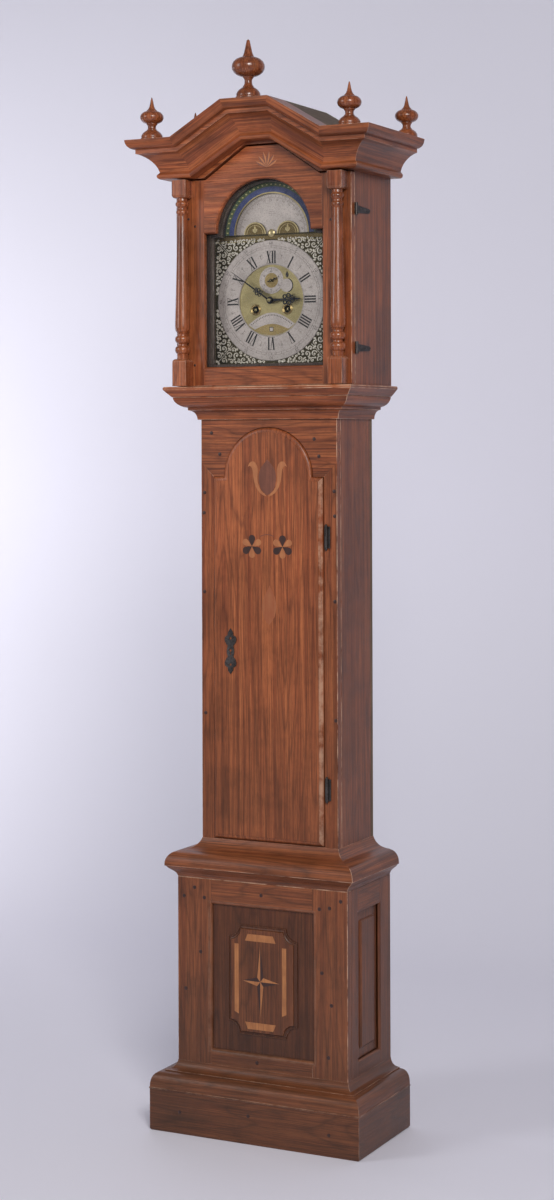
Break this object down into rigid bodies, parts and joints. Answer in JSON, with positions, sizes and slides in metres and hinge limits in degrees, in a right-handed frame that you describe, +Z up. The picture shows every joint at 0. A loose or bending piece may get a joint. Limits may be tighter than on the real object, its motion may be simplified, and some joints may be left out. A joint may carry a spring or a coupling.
{
  "type": "grandfather clock",
  "caption": "Tall wooden case clock with a sliding pitched hood, hinged hood and trunk doors, an arched brass dial with moon disc, and a weight-driven pendulum movement.",
  "frame": {"origin": "bottom centre of the bounding box, at floor level", "axes": "+Z up; -Y towards the front of the clock; +X to the right as seen from the front"},
  "size_m": [0.6324, 0.3278, 2.5443],
  "materials": {
    "oak": "waxed, medium gloss, old and worn at the edges",
    "dark_wood": "dark stained, matt",
    "pine": "unfinished softwood, matt and dusty",
    "brass": "lacquered, softly polished",
    "silvered": "silvered brass, matt",
    "steel": "blued steel, polished",
    "iron": "blackened, matt",
    "lead": "dull grey, cast",
    "gut": "twisted gut, matt",
    "glass": "clear, polished"
  },
  "bodies": {
    "case": {"base_front_frame": "oak", "base_front_panel": "oak", "base_side_left": "oak", "base_side_right": "oak", "plinth_skirt": "oak", "trunk_front_frame": "oak", "trunk_side_left": "oak", "trunk_side_right": "oak", "backboard": "pine", "waist_moulding": "oak", "throat_moulding": "oak", "seatboard": "pine", "trunk_hinge_lower": "iron", "trunk_hinge_upper": "iron", "dial_plate": "brass", "chapter_ring": "silvered", "front_plate": "brass", "back_plate": "brass", "bell": "brass", "going_line": "gut", "strike_line": "gut"},
    "hood": {"hood_base_frame": "oak", "hood_side_left": "oak", "hood_side_right": "oak", "cornice": "oak", "hood_roof": "pine", "dial_mask": "dark_wood", "finial_centre": "oak", "finial_front_left": "oak", "finial_front_right": "oak", "finial_rear_left": "oak", "finial_rear_right": "oak", "hood_hinge_lower": "iron", "hood_hinge_upper": "iron"},
    "hood_door": {"hood_door_frame": "oak", "door_glass": "glass", "column_left": "oak", "column_right": "oak"},
    "trunk_door": {"trunk_door": "oak", "keyhole_escutcheon": "iron"},
    "lock_bolt": {"lock_bolt": "iron"},
    "minute_arbor": {"centre_arbor": "brass", "minute_hand": "steel"},
    "hour": {"hour_wheel": "brass", "hour_hand": "steel"},
    "motion_wheel": {"minute_wheel": "brass"},
    "third": {"third_wheel": "brass"},
    "escape": {"escape_wheel": "brass", "seconds_hand": "steel"},
    "going_great": {"going_great_wheel": "brass"},
    "strike_great": {"strike_great_wheel": "brass"},
    "moon": {"moon_disc": "silvered"},
    "anchor": {"anchor": "steel"},
    "pendulum": {"pendulum_rod": "steel", "pendulum_bob": "brass"},
    "going_weight": {"going_weight": "lead"},
    "strike_weight": {"strike_weight": "lead"},
    "going_barrel": {"going_barrel": "brass"},
    "strike_barrel": {"strike_barrel": "brass"},
    "hammer": {"hammer": "steel"}
  },
  "joints": [
    {"name": "hood_slide", "type": "slide", "parent": "case", "child": "hood", "axis": [0, -1, 0], "range_m": [0, 0.33]},
    {"name": "hood_door_hinge", "type": "hinge", "parent": "hood", "child": "hood_door", "pos_m": [0.2331, -0.0401, 1.993], "axis": [0, 0, 1], "range_deg": [0, 120]},
    {"name": "trunk_door_hinge", "type": "hinge", "parent": "case", "child": "trunk_door", "pos_m": [0.1517, -0.0365, 1.1065], "axis": [0, 0, 1], "range_deg": [0, 110]},
    {"name": "lock_bolt_slide", "type": "slide", "parent": "trunk_door", "child": "lock_bolt", "axis": [-1, 0, 0], "range_m": [0, 0.007]},
    {"name": "centre_turn", "type": "hinge", "parent": "case", "child": "minute_arbor", "pos_m": [0, 0.03, 1.9505], "axis": [0, 1, 0], "continuous": true},
    {"name": "hour_turn", "type": "hinge", "parent": "case", "child": "hour", "pos_m": [0, 0.03, 1.9505], "axis": [0, 1, 0], "continuous": true},
    {"name": "motion_wheel_turn", "type": "hinge", "parent": "case", "child": "motion_wheel", "pos_m": [0, 0.015, 1.9193], "axis": [0, 1, 0], "continuous": true},
    {"name": "third_turn", "type": "hinge", "parent": "case", "child": "third", "pos_m": [0.0191, 0.05, 1.97655], "axis": [0, 1, 0], "continuous": true},
    {"name": "escape_turn", "type": "hinge", "parent": "case", "child": "escape", "pos_m": [0, 0.05, 1.9975], "axis": [0, 1, 0], "continuous": true},
    {"name": "going_great_turn", "type": "hinge", "parent": "case", "child": "going_great", "pos_m": [0.0413, 0.083, 1.9294], "axis": [0, 1, 0], "continuous": true},
    {"name": "strike_great_turn", "type": "hinge", "parent": "case", "child": "strike_great", "pos_m": [-0.0413, 0.083, 1.9294], "axis": [0, 1, 0], "continuous": true},
    {"name": "moon_turn", "type": "hinge", "parent": "case", "child": "moon", "pos_m": [0, -0.007, 2.107], "axis": [0, 1, 0], "continuous": true},
    {"name": "pendulum_swing", "type": "hinge", "parent": "case", "child": "pendulum", "pos_m": [0, 0.1096, 2.0305], "axis": [0, 1, 0], "range_deg": [-2.5, 2.5]},
    {"name": "anchor_swing", "type": "hinge", "parent": "case", "child": "anchor", "pos_m": [0, 0.066, 2.0305], "axis": [0, 1, 0], "range_deg": [-2.5, 2.5]},
    {"name": "going_weight_lift", "type": "slide", "parent": "case", "child": "going_weight", "axis": [0, 0, 1], "range_m": [0, 1.14], "deforming": ["going_line"]},
    {"name": "strike_weight_lift", "type": "slide", "parent": "case", "child": "strike_weight", "axis": [0, 0, 1], "range_m": [0, 1.14], "deforming": ["strike_line"]},
    {"name": "going_barrel_wind", "type": "hinge", "parent": "case", "child": "going_barrel", "pos_m": [0.0413, 0.06, 1.9294], "axis": [0, 1, 0], "range_deg": [0, 5650]},
    {"name": "strike_barrel_wind", "type": "hinge", "parent": "case", "child": "strike_barrel", "pos_m": [-0.0413, 0.06, 1.9294], "axis": [0, 1, 0], "range_deg": [0, 5650]},
    {"name": "hammer_swing", "type": "hinge", "parent": "case", "child": "hammer", "pos_m": [-0.06, 0.06, 2.003], "axis": [0, 1, 0], "range_deg": [-12, 0], "stiffness_Nm_per_rad": 0.3}
  ],
  "couplings": [
    {"joint": "hour_turn", "follows": "centre_turn", "ratio": 0.083333},
    {"joint": "motion_wheel_turn", "follows": "centre_turn", "ratio": -1},
    {"joint": "third_turn", "follows": "centre_turn", "ratio": -7.5},
    {"joint": "escape_turn", "follows": "centre_turn", "ratio": 60},
    {"joint": "going_great_turn", "follows": "centre_turn", "ratio": -0.083333},
    {"joint": "moon_turn", "follows": "centre_turn", "ratio": 0.00070621},
    {"joint": "anchor_swing", "follows": "pendulum_swing", "ratio": 1},
    {"joint": "going_barrel_wind", "follows": "going_weight_lift", "rad_per_m": 85.837},
    {"joint": "strike_barrel_wind", "follows": "strike_weight_lift", "rad_per_m": 85.837}
  ]
}
